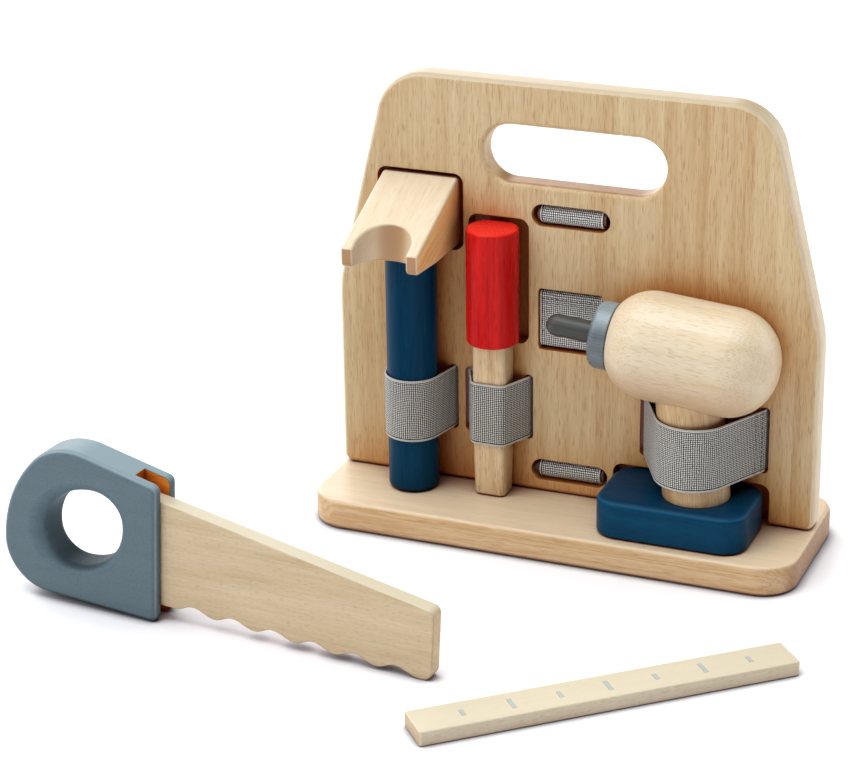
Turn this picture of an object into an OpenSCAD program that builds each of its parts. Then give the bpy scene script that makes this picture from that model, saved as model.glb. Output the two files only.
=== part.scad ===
// Toy carpenter's tool set: a board on a base, with a hammer, a screwdriver and a drill
// held in elastic bands, and a saw and a ruler that lie in front of it.
// X runs along the board, Y to the back and Z up. The origin is the centre of the base's underside.

/* [Base] */
// Width of the base along the board
base_w = 260; // [240:1:300]
// Depth of the base from front to back
base_d = 97.3; // [90:0.1:130]
// Thickness of the base
base_t = 16; // [12:0.5:20]
// Radius of the base's corners, seen from above
base_corner_r = 19.5; // [8:0.5:30]
// Rounding of the base's edges
base_edge_r = 2.5; // [0.5:0.1:4]

/* [Tool board] */
// Thickness of the board
board_t = 14; // [13:0.5:18]
// How far the base reaches past each end of the board
board_inset = 1; // [0.5:0.1:6]
// Height of the board above the base
board_h = 220.2; // [215:0.1:240]
// How far each side leans in at the top
board_lean = 28; // [15:0.5:34]
// Height above the base where the sides begin to slant
shoulder_h = 104; // [85:1:130]
// Radius of the bend in the sides
shoulder_r = 60; // [30:1:120]
// Radius of the board's upper corners
board_corner_r = 27; // [15:0.5:40]
// Rounding of the board's edges
board_edge_r = 3; // [0.5:0.1:4]
// Length of the hand slot
hand_slot_w = 96; // [85:1:120]
// Height of the hand slot
hand_slot_h = 29.8; // [24:0.1:34]
// Distance from the board's top to the middle of the hand slot
hand_slot_drop = 37.4; // [32:0.1:45]
// Rounding of the hand slot's rim
hand_slot_rim = 3; // [0.5:0.1:4]
// Depth of the pockets for the tools
pocket_depth = 9.2; // [9:0.1:10.5]
// Radius of the pockets' corners
pocket_r = 5; // [2:0.5:8]

/* [Screws in the base] */
// Radius of the screws' shanks
screw_r = 2.2; // [1.5:0.1:3]
// Radius of the screws' heads
screw_head_r = 4.2; // [3.5:0.1:6]
// Depth that the screws reach into the board
screw_bite = 18; // [12:0.5:22]

/* [Elastic bands] */
// Thickness of the elastic
band_t = 1.2; // [0.8:0.1:1.6]
// Width of the elastic
band_w = 34; // [25:0.5:34.5]
// Height of the bands' middle above the base
band_z = 46.9; // [42:0.1:50]
// Width of the slots that the bands pass through
band_slot_w = 4.5; // [3.5:0.1:6]
// Height of those slots
band_slot_h = 35.7; // [35:0.1:40]
// Distance between the hammer's two slots
hammer_slot_gap = 35.1; // [32:0.1:36]
// Distance between the screwdriver's two slots
driver_slot_gap = 32.7; // [30:0.1:34]
// Distance between the drill's two slots
drill_slot_gap = 63; // [55:0.5:68]

/* [Strap at the back] */
// Middle of the strap along X
strap_x = -1.2; // [-4:0.1:2]
// Width of the strap
strap_w = 33.2; // [25:0.1:34]
// Height above the base of the lower recess for the strap's end
strap_low_z = 12.5; // [11:0.1:16]
// Height above the base of the upper recess for the strap's end
strap_high_z = 152.3; // [145:0.1:156]
// Length of those recesses
strap_recess_w = 41.6; // [40:0.1:44]
// Height of those recesses
strap_recess_h = 11.5; // [11:0.1:14]
// Depth of those recesses
strap_recess_d = 11; // [10.8:0.1:12]
// Radius of the dowels in the strap's ends
toggle_r = 3.9; // [3:0.1:4]
// Height above the base of the sunk panel's middle
panel_z = 96.5; // [92:0.1:100]
// Width of the sunk panel
panel_w = 34.6; // [34.4:0.1:40]
// Height of the sunk panel
panel_h = 33; // [28:0.5:38]
// Depth of the sunk panel
panel_d = 2.6; // [2.4:0.1:3.4]
// Height of the slots at the panel's two ends
panel_slot_h = 3.4; // [3:0.1:4.5]

/* [Hammer] */
// Distance from the board's left end to the middle of the hammer
hammer_inset = 46.5; // [44:0.1:50]
// Width of the head
head_w = 41; // [36:0.5:44]
// Height above the base of the head's underside
head_z = 131; // [128:0.1:134]
// Height of the head at its back
head_h = 35.8; // [30:0.1:36.5]
// Reach of the claw in front of the board
head_reach = 55.5; // [48:0.5:65]
// Depth that the head reaches into its pocket
head_back = 6; // [3:0.5:7]
// Height of the claw's tips
tip_h = 10.3; // [7:0.1:14]
// Rounding of the head's edges
head_edge_r = 1.2; // [0.4:0.1:2]
// Radius of the prongs' lower front corners
prong_r = 3; // [1:0.5:6]
// Rise of the underside at the tips
tip_rise = 1.9; // [0:0.1:4]
// Radius of the notch between the claw's prongs
notch_r = 14.4; // [10:0.1:15.5]
// Distance from the tips to the notch's centre
notch_back = 5.5; // [2:0.1:10]
// Radius of the handle
hammer_handle_r = 13.3; // [10:0.1:14]
// Radius of the tenon at the handle's top
tenon_r = 9; // [6:0.1:9.5]
// Length of that tenon
tenon_h = 15; // [8:0.5:20]
// Size of the hammer's pocket along X
hammer_pocket_w = 46.7; // [46:0.1:50]
// Height of the hammer's pocket
hammer_pocket_h = 40.7; // [39:0.1:44]

/* [Screwdriver] */
// Distance between the middles of the hammer and of the screwdriver
driver_spacing = 42.6; // [41:0.1:45]
// Radius of the grip
grip_r = 13.7; // [11:0.1:14]
// Length of the grip
grip_h = 62; // [50:0.5:63]
// Height above the base of the grip's lower end
grip_z = 84.3; // [82:0.1:88]
// Width of the shaft
shaft_w = 18; // [14:0.1:19]
// Depth of the shaft
shaft_d = 16.4; // [12:0.1:17]
// Width of the shaft's tip
tip_w = 17; // [10:0.1:18]
// Depth of the shaft's tip
tip_d = 13.8; // [6:0.1:16]
// Length of the taper at the tip
taper_h = 34; // [15:0.5:45]
// Chamfer round the shaft's tip
tip_edge = 0.9; // [0.3:0.1:1]
// Rounding of the shaft's long edges
shaft_edge_r = 3.2; // [1:0.1:5]
// Radius of the shaft's dowel in the grip
dowel_r = 6; // [3:0.1:6.5]
// Length of that dowel
dowel_h = 30; // [15:0.5:45]
// Size of the screwdriver's pocket along X
driver_pocket_w = 32.5; // [31:0.1:34]
// Height of the screwdriver's pocket
driver_pocket_h = 67.3; // [66:0.1:70]

/* [Drill] */
// Distance from the board's right end to the middle of the drill's foot
drill_inset = 64.7; // [62:0.1:67]
// Distance from the board's face to the drill's middle plane
drill_y = 18.8; // [18.7:0.1:24]
// Width of the foot
foot_w = 79.2; // [70:0.1:80]
// Depth of the foot
foot_d = 48; // [40:0.5:48.5]
// Height of the foot
foot_h = 20.7; // [16:0.1:21.5]
// Radius of the foot's corners
foot_corner_r = 13; // [6:0.5:18]
// Rounding of the foot's upper edge
foot_edge_r = 4; // [1:0.1:6]
// Offset of the handle from the foot's middle
handle_shift = 8.8; // [0:0.1:12]
// Radius of the handle
drill_handle_r = 17.1; // [14:0.1:17.5]
// Lean of the handle towards the nose, in degrees
drill_lean = 5; // [0:0.5:7]
// Pitch of the barrel, nose up, in degrees
barrel_pitch = 5; // [0:0.5:6]
// Distance from the foot to the barrel's axis, along the handle
barrel_rise = 75.7; // [70:0.1:82]
// Radius of the barrel
barrel_r = 27.4; // [23:0.1:27.5]
// Length of the barrel in front of the handle's axis
barrel_nose = 37.4; // [30:0.1:42]
// Length of the barrel behind the handle's axis
barrel_tail = 46.8; // [35:0.1:50]
// Rounding of the barrel's nose
nose_r = 23.5; // [15:0.5:25]
// Rounding of the barrel's tail
tail_r = 25; // [15:0.5:27]
// Radius of the chuck
chuck_r = 17.2; // [12:0.1:17.4]
// Length of the chuck
chuck_l = 10; // [6:0.5:14]
// Rounding of the chuck's front edge
chuck_edge_r = 3.5; // [1:0.1:5]
// Radius of the bit
bit_r = 5.7; // [4:0.1:6.5]
// Length of the bit in front of the chuck
bit_l = 26; // [18:0.5:32]
// Radius of the spindle that the bit turns on
spindle_r = 2; // [1.5:0.1:2.5]
// Length of the spindle in the barrel and in the bit
spindle_l = 20; // [10:0.5:24]
// Height of the recess for the foot
foot_pocket_h = 22.4; // [22.2:0.1:26]
// Width of the recess for the foot
foot_pocket_w = 82.8; // [81:0.1:86]

/* [Saw] */
// Thickness of the handle
saw_handle_t = 20; // [14:0.5:22]
// Length of the handle
saw_handle_l = 88.7; // [82:0.1:100]
// Height of the handle's front edge
saw_handle_h = 73.2; // [66:0.1:80]
// Slope of the handle's top, in degrees
saw_top_slope = 10; // [0:0.5:14]
// Radius of the handle's back
saw_back_r = 68.3; // [60:0.1:75]
// Radius of the handle's lower rear corner
saw_corner_r = 25; // [18:0.5:28]
// Radius of the handle's upper rear corner
saw_top_corner_r = 33; // [24:0.5:45]
// Distance from the handle's middle plane to the blade's, towards the front
blade_forward = 1; // [0:0.1:1.5]
// Thickness of the blade
saw_blade_t = 8.5; // [6:0.1:11]
// Length of the oval hole for the fingers
finger_hole_l = 46.4; // [38:0.1:48]
// Width of the oval hole for the fingers
finger_hole_w = 36.4; // [30:0.1:38]
// Turn of that hole's long axis, up and forward, in degrees
finger_hole_turn = 51; // [0:1:60]
// Distance from the handle's front edge to the middle of that hole
finger_hole_back = 42.9; // [38:0.1:48]
// Height of the middle of that hole above the handle's lower edge
finger_hole_z = 40.2; // [36:0.1:44]
// Rounding of that hole's rim
finger_hole_rim = 4.8; // [1:0.1:5.5]
// Length of the blade from its heel in the handle to its end
blade_l = 161.8; // [130:0.5:190]
// Depth of the slot in the handle
saw_slot_l = 14.2; // [10:0.1:18]
// Height of the blade at its heel
heel_h = 58; // [50:0.5:60]
// Height of the blade at its end
blade_end_h = 37.4; // [25:0.1:45]
// Height of the teeth
tooth_h = 3.3; // [1.5:0.1:4]
// Distance between the teeth
tooth_pitch = 22.1; // [12:0.1:30]
// Distance from the blade's heel to its first tooth
tooth_first = 22.1; // [17:0.1:30]
// Share of a tooth that rises towards the toe
tooth_rise = 0.45; // [0.3:0.01:0.6]
// Height of the teeth above the handle's lower edge
tooth_z = 8.5; // [6:0.1:12]
// Radius of the blade's lower corner
toe_r = 5; // [3:0.5:10]
// Radius of the blade's upper corner
blade_corner_r = 4; // [2:0.5:8]
// Rounding of the saw handle's edges
saw_edge_r = 3; // [0.5:0.1:4]
// Where the saw's handle stands, along X
saw_x = -154.8; // [-175:0.1:-140]
// Where the saw's handle stands, along Y
saw_y = -168.1; // [-185:0.1:-150]
// Turn of the saw about the vertical, in degrees
saw_turn = -4.7; // [-12:0.1:0]

/* [Ruler] */
// Length of the ruler
ruler_l = 188.5; // [182:0.5:200]
// Width of the ruler
ruler_w = 21.3; // [20:0.1:30]
// Thickness of the ruler
ruler_t = 7.6; // [5:0.1:10]
// Distance between the ruler's marks
mark_pitch = 23.8; // [20:0.1:26]
// Length of the long marks
mark_long = 9; // [7:0.1:11]
// Length of the short marks
mark_short = 5.5; // [3:0.1:6.5]
// Distance of the middle mark from the ruler's middle
mark_shift = 1.6; // [-2:0.1:3]
// Width of the marks
mark_w = 2.1; // [1:0.1:2.5]
// Middle of the ruler along X
ruler_x = 77.4; // [70:0.1:90]
// Middle of the ruler along Y
ruler_y = -173.6; // [-190:0.1:-165]
// Turn of the ruler about the vertical, in degrees
ruler_turn = 41.4; // [20:0.1:50]

/* [Fits] */
// Gap between pieces that are glued together
glue_gap = 0.05; // [0.02:0.01:0.1]
// Gap between pieces that move apart
rest_gap = 0.3; // [0.2:0.05:0.5]
// Clearance round the spindle
spindle_clear = 0.07; // [0.02:0.01:0.1]
// Clearance round the barrel in the board
cradle_clear = 0.6; // [0.3:0.1:0.8]

/* [Hidden] */
$fn = 64;

wood = "burlywood";
cream = "cornsilk";
weave = "darkgray";
navy = "midnightblue";
slate = "slategray";

through = 1; // how far a cutter runs past a face
board_w = base_w - 2 * board_inset;
board_top = base_t + board_h;
hammer_x = -board_w / 2 + hammer_inset;
driver_x = hammer_x + driver_spacing;
drill_x = board_w / 2 - drill_inset;
hand_slot_z = board_top - hand_slot_drop;
screw_xs = [-0.4 * board_w, -0.18 * board_w, 0.453 * board_w];
hammer_y = -(hammer_handle_r + rest_gap);
driver_y = -(shaft_d / 2 + rest_gap);
foot_top = base_t + rest_gap + foot_h;
head_bottom = base_t + head_z;
saw_slot_t = saw_blade_t + 2 * glue_gap;

// ---- shapes that several pieces share ----

// A rectangle with round corners, about its middle
module round_rect(w, h, r) {
    square([w - 2 * r, h], center = true);
    square([w, h - 2 * r], center = true);
    for (x = [-1, 1], y = [-1, 1]) translate([x * (w / 2 - r), y * (h / 2 - r)]) circle(r);
}

// A slot with round ends, about its middle
module slot_shape(w, h) {
    flat = w > h;
    r = min(w, h) / 2;
    square([flat ? w - h : w, flat ? h : h - w], center = true);
    for (side = [-1, 1]) translate(side * (flat ? [w / 2 - r, 0] : [0, h / 2 - r])) circle(r);
}

// A slab of the child's convex outline, with round edges above and below
module round_slab(t, top_r, bottom_r, steps = 4) {
    hull()
        for (k = [0 : steps]) {
            a = 90 * k / steps;
            low = bottom_r * (1 - sin(a));
            high = t - top_r * (1 - sin(a));
            translate([0, 0, low]) linear_extrude(high - low)
                offset(delta = -max(top_r, bottom_r) * (1 - cos(a))) children();
        }
}

// An oval about its middle, of four arcs that run into each other
module oval(w, h) {
    small = h / 2 * 0.8;
    shift = w / 2 - small;
    big = (shift^2 + (h / 2)^2 - small^2) / (h - 2 * small);
    for (side = [-1, 1]) translate([side * shift, 0]) circle(small);
    intersection() {
        square([2 * shift * big / (big - small), h], center = true);
        intersection_for (side = [-1, 1]) translate([0, side * (big - h / 2)]) circle(big, $fn = 128);
    }
}

// Turns a flat shape so that it stands up, facing the front, and grows to the back
module upright(y, depth) {
    translate([0, y + depth, 0]) rotate([90, 0, 0]) linear_extrude(depth) children();
}

// A shape round the X axis of a point, from a half outline of [along, radius]
module turned_x(profile) {
    rotate([0, 90, 0]) rotate_extrude($fn = 96) polygon([for (p = profile) [p[1], p[0]]]);
}

// Points of an arc
function arc(c, r, from, to, n = 10) = [for (k = [0 : n]) let(a = from + (to - from) * k / n) c + r * [cos(a), sin(a)]];

// ---- stand ----

module base_plate() {
    color(wood) difference() {
        round_slab(base_t, base_edge_r, base_edge_r) round_rect(base_w, base_d, base_corner_r);
        for (x = screw_xs) translate([x, board_t / 2, 0]) screw_cut(glue_gap);
    }
}

// The outline of the board, seen from the front
module board_outline() {
    slant = atan(board_lean / (board_h - shoulder_h));
    line = board_w / 2 * cos(slant) + (base_t + shoulder_h) * sin(slant);
    shoulder_z = base_t + shoulder_h - shoulder_r * tan(slant / 2);
    corner_z = board_top - board_corner_r;
    corner_x = (line - board_corner_r - corner_z * sin(slant)) / cos(slant);
    hull()
        for (side = [-1, 1]) {
            translate([side * (board_w / 2 - pocket_r), base_t + pocket_r]) circle(pocket_r);
            translate([side * (board_w / 2 - shoulder_r), shoulder_z]) circle(shoulder_r, $fn = 180);
            translate([side * corner_x, corner_z]) circle(board_corner_r);
        }
}

module tool_board() {
    color(wood) difference() {
        translate([0, board_t, 0]) rotate([90, 0, 0])
            round_slab(board_t, board_edge_r, board_edge_r) board_outline();
        hand_slot_cut();
        pocket(hammer_x, head_bottom + hammer_pocket_h / 2 - 2.7, hammer_pocket_w, hammer_pocket_h);
        pocket(driver_x, base_t + grip_z + driver_pocket_h / 2 - 2.6, driver_pocket_w, driver_pocket_h);
        pocket(drill_x, base_t - pocket_r + foot_pocket_h / 2, foot_pocket_w, foot_pocket_h + 2 * pocket_r);
        barrel_frame() barrel_body(cradle_clear);
        band_slots(hammer_x, hammer_slot_gap);
        band_slots(driver_x, driver_slot_gap);
        band_slots(drill_band_x(), drill_slot_gap);
        for (z = [strap_low_z, strap_high_z]) strap_recess(base_t + z);
        panel_cut();
        for (x = screw_xs) translate([x, board_t / 2, 0]) cylinder(r = screw_r + glue_gap, h = base_t + screw_bite + 1);
    }
}

module hand_slot_cut() {
    translate([0, 0, hand_slot_z]) {
        upright(-through, board_t + 2 * through) slot_shape(hand_slot_w, hand_slot_h);
        slot_rim();
        translate([0, board_t, 0]) mirror([0, 1, 0]) slot_rim();
    }
}

// Rounds the rim of the hand slot on the face at y = 0
module slot_rim() {
    r = hand_slot_h / 2;
    rim = concat([[r + hand_slot_rim, -through]],
        arc([r + hand_slot_rim, hand_slot_rim], hand_slot_rim, 270, 180, 6));
    half = (hand_slot_w - hand_slot_h) / 2;
    for (side = [-1, 1]) translate([side * half, 0, 0]) rotate([-90, 0, 0])
        rotate_extrude() polygon(concat([[0, -through]], rim, [[0, hand_slot_rim]]));
    translate([-half, 0, 0]) rotate([90, 0, 90]) linear_extrude(2 * half)
        polygon(concat([for (p = rim) [p[1], p[0]]],
            [for (k = [len(rim) - 1 : -1 : 0]) [rim[k][1], -rim[k][0]]]));
}

// A blind pocket in the board's face
module pocket(x, z, w, h) {
    translate([x, 0, z]) upright(-through, pocket_depth + through) round_rect(w, h, pocket_r);
}

module band_slots(x, gap) {
    for (side = [-1, 1])
        translate([x + side * gap / 2, 0, base_t + band_z])
            upright(-through, board_t + 2 * through) slot_shape(band_slot_w, band_slot_h);
}

// A recess for a dowel in the strap's end, with a narrower slot behind it
module strap_recess(z) {
    translate([strap_x, 0, z]) {
        upright(-through, strap_recess_d + through) slot_shape(strap_recess_w, strap_recess_h);
        upright(0, board_t + through) square([strap_w + 2, 2 * toggle_r - 2], center = true);
    }
}

// The sunk panel, with a slot at each end for the strap
module panel_cut() {
    translate([strap_x, 0, base_t + panel_z]) {
        upright(-through, panel_d + through) round_rect(panel_w, panel_h, pocket_r / 2);
        for (side = [-1, 1]) translate([0, 0, side * (panel_h - panel_slot_h) / 2])
            upright(-through, board_t + 2 * through) round_rect(strap_w + 2 * rest_gap, panel_slot_h, 1);
    }
}

// A countersunk screw, pointing up, larger by gap
module screw_cut(gap) {
    translate([0, 0, -gap]) cylinder(r1 = screw_head_r + gap, r2 = screw_r + gap, h = screw_head_r - screw_r + gap);
    cylinder(r = screw_r + gap, h = base_t + 2 * gap);
}

module stand_screws() {
    color("silver") for (x = screw_xs) translate([x, board_t / 2, 0]) {
        translate([0, 0, 0.4]) cylinder(r1 = screw_head_r - 0.4, r2 = screw_r, h = screw_head_r - screw_r - 0.4);
        translate([0, 0, 0.4]) cylinder(r = screw_r, h = base_t + screw_bite - 0.4);
    }
}

// ---- elastic ----

// A closed band through two slots, round a tool at y whose section is [width, depth, corner radius]
module band(x, gap, section, y) {
    half = gap / 2;
    translate([x, 0, base_t + band_z - band_w / 2]) linear_extrude(band_w) difference() {
        band_area(half + band_t / 2, section, rest_gap + band_t, y, board_t + rest_gap + band_t);
        band_area(half - band_t / 2, section, rest_gap, y, board_t + rest_gap);
    }
}

// The area inside a band, seen from above: the tool's section grown by a gap, and the two slots
module band_area(half, section, grow, y, back) {
    reach = [section[0] / 2 - section[2], section[1] / 2 - section[2]];
    hull() {
        for (sx = [-1, 1], sy = [-1, 1])
            translate([sx * reach[0], y + sy * reach[1]]) circle(section[2] + grow);
        translate([-half, -0.01]) square([2 * half, 0.01]);
    }
    translate([-half, -0.01]) square([2 * half, back + 0.01]);
}

module hammer_band() {
    color(weave) band(hammer_x, hammer_slot_gap, hammer_handle_r * [2, 2, 1], hammer_y);
}

module screwdriver_band() {
    color(weave) band(driver_x, driver_slot_gap, [shaft_w, shaft_d, shaft_edge_r], driver_y);
}

function lean_shift() = (base_t + band_z - foot_top) * tan(drill_lean);
function drill_band_x() = drill_x + handle_shift - lean_shift();

module drill_band() {
    extra = band_w / 2 * tan(drill_lean);
    color(weave) band(drill_band_x(), drill_slot_gap, (drill_handle_r + extra) * [2, 2, 1], -drill_y);
}

// The strap behind the board: rolled round a dowel at each end and brought forward in the sunk panel
module rear_strap() {
    low = base_t + strap_low_z;
    high = base_t + strap_high_z;
    middle = base_t + panel_z;
    half = (panel_h - panel_slot_h) / 2;
    back = board_t + rest_gap;
    front = panel_d - rest_gap - band_t;
    color(weave) translate([strap_x + strap_w / 2, 0, 0]) rotate([0, -90, 0]) linear_extrude(strap_w) {
        for (z = [low, high]) strap_roll(z, back);
        strap_run([low - band_t / 2, back], [middle - half + band_t / 2, back + band_t]);
        strap_run([middle + half - band_t / 2, back], [high + band_t / 2, back + band_t]);
        strap_run([middle - half - band_t / 2, front], [middle + half + band_t / 2, front + band_t]);
        for (side = [-1, 1])
            strap_run([middle + side * half - band_t / 2, front], [middle + side * half + band_t / 2, back + band_t]);
    }
}

module strap_run(from, to) {
    translate(from) square(to - from);
}

function toggle_y() = rest_gap + toggle_r + glue_gap + band_t;

module strap_roll(z, back) {
    r = toggle_r + glue_gap;
    translate([z, toggle_y()]) difference() {
        circle(r + band_t);
        circle(r);
    }
    strap_run([z - band_t / 2, toggle_y() + r + band_t / 2], [z + band_t / 2, back + band_t / 2]);
}

module toggle(z) {
    color(wood) translate([strap_x, toggle_y(), z]) rotate([0, 90, 0])
        cylinder(r = toggle_r, h = strap_w + 3, center = true);
}

module upper_toggle() {
    toggle(base_t + strap_high_z);
}

module lower_toggle() {
    toggle(base_t + strap_low_z);
}

// ---- hammer ----

// The head, from its side outline, with a round notch between two prongs
module hammer_head() {
    tip = -head_reach;
    under = head_bottom + tip_rise;
    outline = concat(
        [[head_back, head_bottom], [head_back, head_bottom + head_h], [0, head_bottom + head_h]],
        [[tip, under + tip_h]],
        arc([tip + prong_r, under + prong_r], prong_r, 180, 270, 6),
        [[hammer_y - hammer_handle_r - 1, head_bottom]]);
    color(cream) difference() {
        translate([hammer_x - head_w / 2, 0, 0]) rotate([90, 0, 90]) round_slab(head_w, head_edge_r, head_edge_r, 3)
            offset(r = head_edge_r, $fn = 32) offset(delta = -head_edge_r) polygon(outline);
        translate([hammer_x, tip + notch_back, 0]) cylinder(r = notch_r, h = board_top, $fn = 96);
        translate([hammer_x - notch_r, tip - through, 0]) cube([2 * notch_r, notch_back + through, board_top]);
        translate([hammer_x, hammer_y, 0])
            cylinder(r = tenon_r + glue_gap, h = head_bottom + tenon_h + glue_gap);
    }
}

module hammer_handle() {
    foot = base_t + rest_gap;
    foot_r = 2.5;
    profile = concat(
        [[0, foot]],
        arc([hammer_handle_r - foot_r, foot + foot_r], foot_r, -90, 0, 6),
        [[hammer_handle_r, head_bottom - glue_gap], [tenon_r, head_bottom - glue_gap],
            [tenon_r, head_bottom + tenon_h], [0, head_bottom + tenon_h]]);
    color(navy) translate([hammer_x, hammer_y, 0]) rotate_extrude($fn = 96) polygon(profile);
}

// ---- screwdriver ----

module screwdriver_grip() {
    low = base_t + grip_z;
    edge = 2;
    bore = dowel_r + glue_gap;
    profile = concat(
        [[bore, low]],
        arc([grip_r - edge, low + edge], edge, -90, 0, 6),
        arc([grip_r - edge, low + grip_h - edge], edge, 0, 90, 6),
        [[0, low + grip_h], [0, low + dowel_h + glue_gap], [bore, low + dowel_h + glue_gap]]);
    color("crimson") translate([driver_x, driver_y, 0]) rotate_extrude($fn = 96) polygon(profile);
}

module screwdriver_shaft() {
    foot = base_t + rest_gap;
    top = base_t + grip_z - glue_gap;
    color(wood) translate([driver_x, driver_y, 0]) {
        hull($fn = 32) {
            translate([0, 0, foot]) linear_extrude(0.5)
                round_rect(tip_w - 2 * tip_edge, tip_d - 2 * tip_edge, shaft_edge_r - tip_edge);
            translate([0, 0, foot + tip_edge]) linear_extrude(0.5) round_rect(tip_w, tip_d, shaft_edge_r);
            translate([0, 0, foot + taper_h]) linear_extrude(top - foot - taper_h)
                round_rect(shaft_w, shaft_d, shaft_edge_r);
        }
        translate([0, 0, top]) cylinder(r = dowel_r, h = dowel_h);
    }
}

// ---- drill ----

// The handle's own frame: its origin is where its axis meets the foot
module handle_frame() {
    translate([drill_x + handle_shift, -drill_y, foot_top]) rotate([0, -drill_lean, 0]) children();
}

// The barrel's own frame: its X axis is the barrel's, and it starts at the handle's axis
module barrel_frame() {
    handle_frame() translate([0, 0, barrel_rise]) rotate([0, drill_lean + barrel_pitch, 0]) children();
}

// The barrel's solid, larger by gap
module barrel_body(gap) {
    r = barrel_r + gap;
    nose = nose_r + gap;
    tail = tail_r + gap;
    // where the nose would end if the chuck had not taken its tip
    full_nose = barrel_nose + nose_r - sqrt(nose_r^2 - (chuck_r - barrel_r + nose_r)^2);
    cut = acos((full_nose - nose_r - barrel_nose) / -nose_r);
    profile = concat(
        [[-barrel_nose - gap, 0]],
        arc([nose_r - full_nose, r - nose], nose, 180 - cut, 90, 12),
        arc([barrel_tail - tail_r, r - tail], tail, 90, 0, 12),
        [[barrel_tail + gap, 0]]);
    turned_x(profile);
}

module drill_foot() {
    color(navy) difference() {
        translate([drill_x, -drill_y, base_t + rest_gap])
            round_slab(foot_h, foot_edge_r, 1.5) round_rect(foot_w, foot_d, foot_corner_r);
        handle_frame() translate([0, 0, -tenon_h]) cylinder(r = tenon_r + glue_gap, h = 2 * tenon_h);
    }
}

module drill_handle() {
    color(wood) difference() {
        union() {
            handle_frame() translate([0, 0, glue_gap - tenon_h]) cylinder(r = tenon_r, h = barrel_rise);
            difference() {
                handle_frame() translate([0, 0, -drill_handle_r])
                    cylinder(r = drill_handle_r, h = barrel_rise + drill_handle_r);
                translate([drill_x, -drill_y, foot_top + glue_gap - foot_w]) cube(2 * foot_w, center = true);
            }
        }
        barrel_frame() rotate([0, 90, 0])
            cylinder(r = barrel_r + glue_gap, h = 4 * drill_handle_r, center = true, $fn = 96);
    }
}

module drill_barrel() {
    color(cream) difference() {
        barrel_frame() barrel_body(0);
        barrel_frame() translate([-barrel_nose - through, 0, 0]) rotate([0, 90, 0])
            cylinder(r = spindle_r + glue_gap, h = spindle_l + through + glue_gap);
    }
}

module drill_spindle() {
    color("silver") barrel_frame() translate([-barrel_nose - spindle_l, 0, 0]) rotate([0, 90, 0])
        cylinder(r = spindle_r, h = 2 * spindle_l);
}

module drill_chuck() {
    front = -barrel_nose - rest_gap - chuck_l;
    back = -barrel_nose - rest_gap;
    bore = bit_r + glue_gap;
    profile = concat(
        [[front, bore]],
        arc([front + chuck_edge_r, chuck_r - chuck_edge_r], chuck_edge_r, 180, 90, 6),
        arc([back - 0.8, chuck_r - 0.8], 0.8, 90, 0, 3),
        [[back, bore]]);
    color(slate) barrel_frame() turned_x(profile);
}

module drill_bit() {
    back = -barrel_nose - rest_gap;
    tip = back - chuck_l - bit_l;
    bore = spindle_r + spindle_clear;
    profile = concat(
        arc([tip + bit_r, 0], bit_r, 180, 90, 10),
        [[back, bit_r], [back, bore], [back - spindle_l, bore], [back - spindle_l, 0]]);
    color("dimgray") barrel_frame() turned_x(profile);
}

// ---- saw ----

// The saw stands on its handle's lower corner and on the blade's toe
heel_corner = [-saw_edge_r - 1, saw_edge_r + 1, saw_edge_r + 1];
toe_corner = [blade_l - saw_slot_l - toe_r, tooth_z + toe_r, toe_r];
saw_tilt = asin((toe_corner[1] - toe_corner[2] - heel_corner[1] + heel_corner[2]) / norm(toe_corner - heel_corner));

module saw_frame() {
    translate([saw_x, saw_y, heel_corner[2]]) rotate([0, 0, saw_turn]) rotate([0, saw_tilt, 0])
        translate([-heel_corner[0], 0, -heel_corner[1]]) children();
}

// The handle's outline, with its front edge on x = 0 and its lower edge on y = 0
module saw_handle_outline() {
    r = saw_corner_r;
    front_r = heel_corner[2];
    back = [saw_back_r - saw_handle_l, r];
    slope = [sin(saw_top_slope), cos(saw_top_slope)];
    line = saw_handle_h * slope[1];
    top_r = saw_top_corner_r;
    turn = 90 - saw_top_slope + acos((line - back * slope - top_r) / (saw_back_r - top_r));
    top_corner = back + (saw_back_r - top_r) * [cos(turn), sin(turn)];
    hull() {
        translate([heel_corner[0], heel_corner[1]]) circle(front_r);
        translate([-front_r, (line - front_r + front_r * slope[0]) / slope[1]]) circle(front_r);
        translate([r - saw_handle_l, r]) circle(r);
        translate(top_corner) circle(top_r);
        polygon(concat([top_corner], arc(back, saw_back_r, turn, 180, 12)));
    }
}

module saw_handle() {
    color(slate) saw_frame() difference() {
        translate([0, saw_handle_t / 2, 0]) rotate([90, 0, 0])
            round_slab(saw_handle_t, saw_edge_r, saw_edge_r) saw_handle_outline();
        translate([-finger_hole_back, 0, finger_hole_z]) rotate([90, -finger_hole_turn, 0]) {
            linear_extrude(2 * saw_handle_t, center = true) oval(finger_hole_l, finger_hole_w);
            for (side = [0, 1]) mirror([0, 0, side]) oval_rim(saw_handle_t / 2);
        }
        translate([-saw_slot_l, -saw_slot_t / 2 - blade_forward, -through])
            cube([saw_slot_l + through, saw_slot_t, saw_handle_h + 4 * saw_edge_r]);
    }
}

// Rounds the rim of the oval hole on the face at a height
module oval_rim(face, steps = 3) {
    r = finger_hole_rim;
    for (k = [1 : steps]) hull() for (a = [90 * (k - 1) / steps, 90 * k / steps])
        translate([0, 0, face - r * (1 - sin(a))]) linear_extrude(0.01)
            oval(finger_hole_l + 2 * r * (1 - cos(a)), finger_hole_w + 2 * r * (1 - cos(a)));
}

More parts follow.
